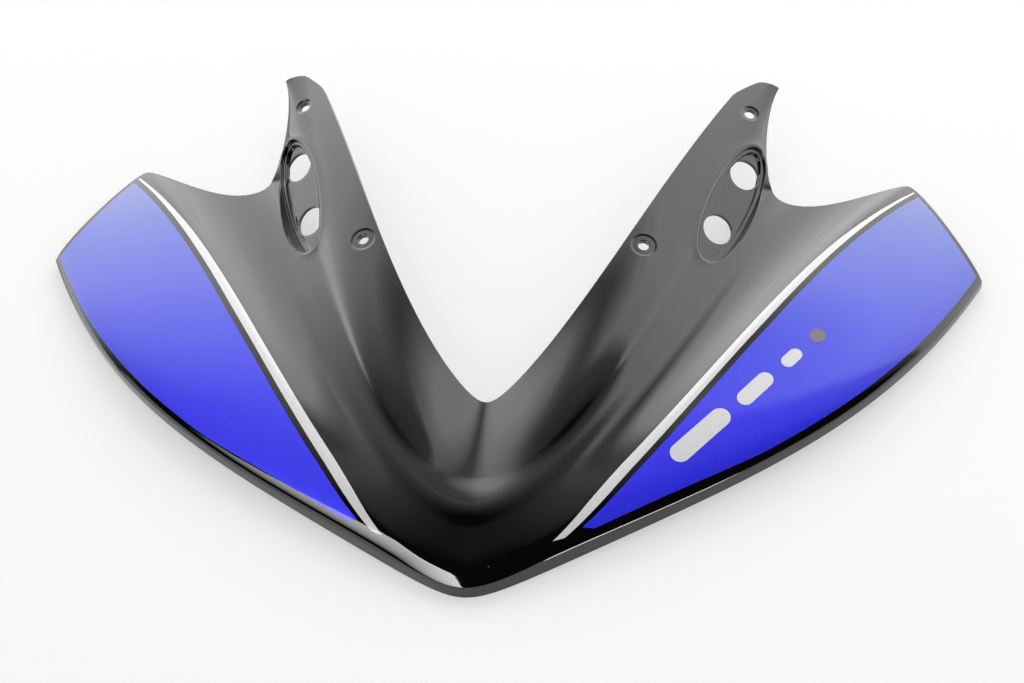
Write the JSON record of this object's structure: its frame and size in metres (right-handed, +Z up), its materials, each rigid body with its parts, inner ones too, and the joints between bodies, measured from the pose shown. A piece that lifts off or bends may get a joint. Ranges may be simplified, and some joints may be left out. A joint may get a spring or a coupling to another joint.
{
  "type": "motorcycle front fairing",
  "caption": "Gloss black front cowl of a sport motorcycle: a V-shaped shell with swept wings, windscreen arms, mirror pockets, screw holes, and blue and pale films on its wings.",
  "frame": {"origin": "on the ground under the middle of the bounding box, with the cowl lying face up on its nose and its two outer wing corners", "axes": "+X across to the right wing as seen from above with the nose towards the viewer, +Y from the nose back to the arm tips, +Z up out of the painted face"},
  "size_m": [0.5102, 0.3348, 0.0398],
  "materials": {
    "shell_black": "gloss",
    "film_blue": "gloss metallic",
    "film_pale": "gloss"
  },
  "bodies": {
    "root": {"cowl_shell": "shell_black", "side_film_left": "film_blue", "side_film_right": "film_blue", "stripe_film_left": "film_pale", "stripe_film_right": "film_pale"}
  },
  "joints": []
}
